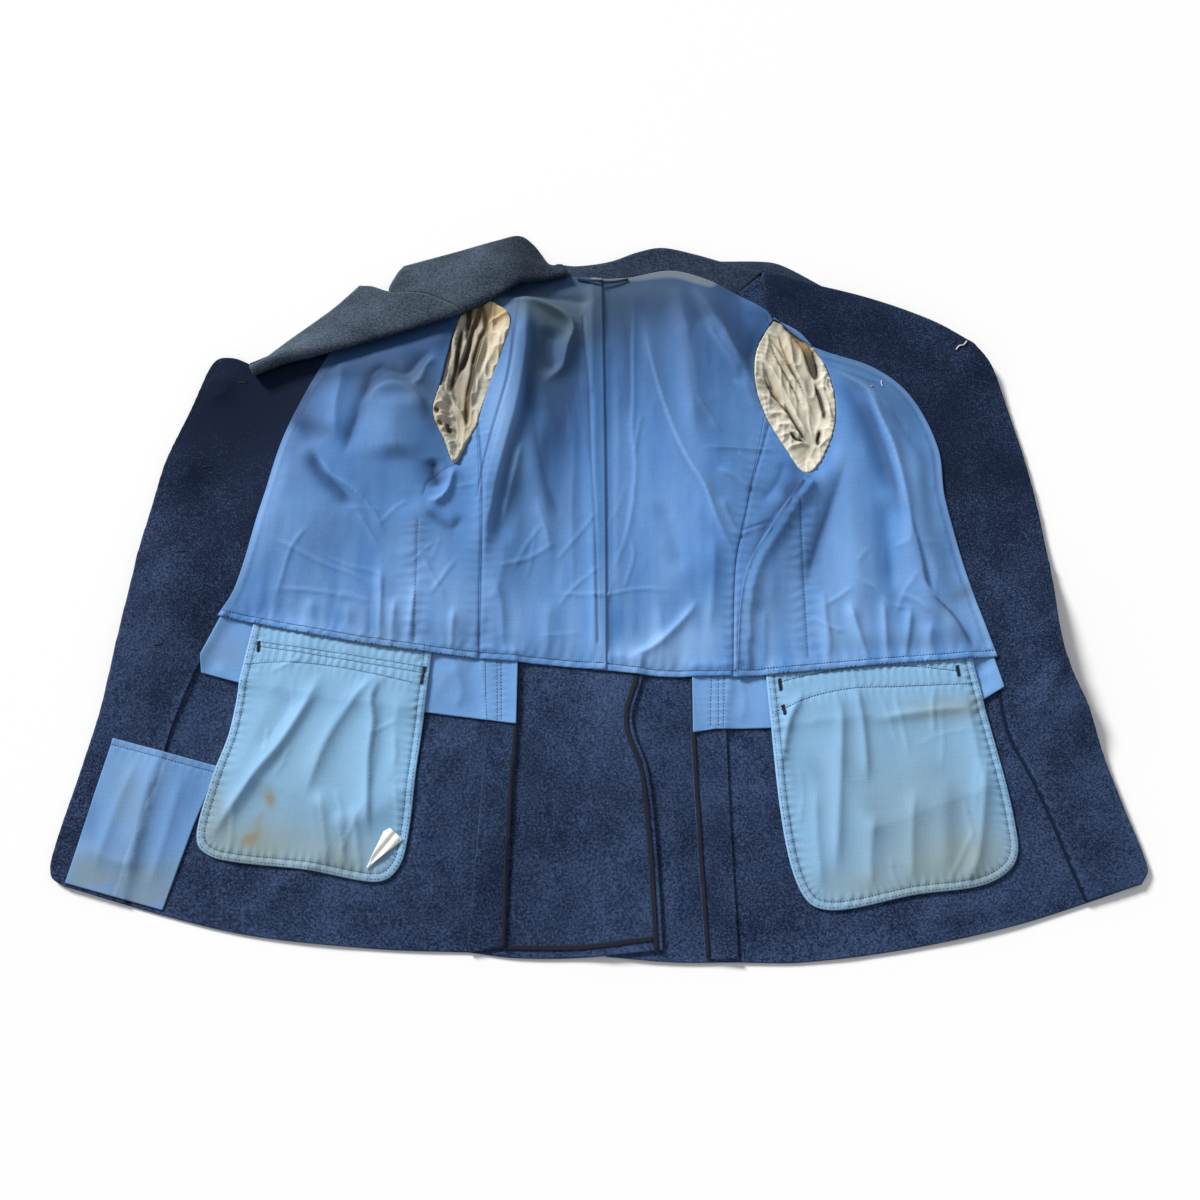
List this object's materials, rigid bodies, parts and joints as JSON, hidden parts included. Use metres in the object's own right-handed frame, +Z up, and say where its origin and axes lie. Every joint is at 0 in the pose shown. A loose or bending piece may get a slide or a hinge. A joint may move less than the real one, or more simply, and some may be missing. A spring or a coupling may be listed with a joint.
{
  "type": "military service tunic laid open",
  "caption": "Blue-grey wool service tunic lying open on its back with its lining, waist stays and inner pocket bags up, left lapel standing in a roll and right lapel tucked under.",
  "frame": {"origin": "middle of the tunic's footprint on the surface that it lies on", "axes": "+X across the hem towards the wearer's left front, which lies on the right, +Y from the hem to the collar, +Z up from the surface through the cloth"},
  "size_m": [1.054, 0.808, 0.0241],
  "materials": {
    "wool": "heather blue-grey wool serge, milled and matt",
    "wool_faded": "the same wool, lightened by wear and light on the worn side of lapel and collar",
    "lining": "sky-blue cotton sateen, creased, faded and a little stained",
    "stay": "light blue cotton twill",
    "pocketing": "pale greenish blue cotton twill, soiled at the lower edges",
    "sleeve_lining": "cream striped cotton, crumpled and yellowed",
    "binding": "near-black bias tape",
    "tag": "white woven tag, torn and bare",
    "brass": "plain dull brass"
  },
  "bodies": {
    "root": {"back_left": "wool", "back_right": "wool", "front_left": "wool", "front_right": "wool", "facing_left": "wool", "facing_right": "wool", "lapel_left": "wool_faded", "lapel_right": "wool", "collar_left": "wool_faded", "collar_back": "wool", "collar_end_right": "wool_faded", "sleeve_left_under": "wool", "sleeve_left_top": "wool", "sleeve_right_under": "wool", "sleeve_right_top": "wool", "sleeve_lining_left": "sleeve_lining", "sleeve_lining_right": "sleeve_lining", "lining_back_left": "lining", "lining_back_right": "lining", "lining_side_right": "lining", "lining_front_left": "lining", "lining_front_right": "lining", "seam_allowance_left": "wool", "seam_allowance_right": "wool", "binding_left": "binding", "binding_right": "binding", "binding_vent": "binding", "binding_hem": "binding", "stay_left": "stay", "stay_right": "stay", "corner_pocket": "stay", "pocket_bag_left": "pocketing", "pocket_bag_left_under": "pocketing", "pocket_bag_right": "pocketing", "pocket_bag_right_under": "pocketing", "torn_tag": "tag", "hanger_loop": "wool", "button_1": "brass", "button_2": "brass", "button_3": "brass", "button_4": "brass"}
  },
  "joints": []
}
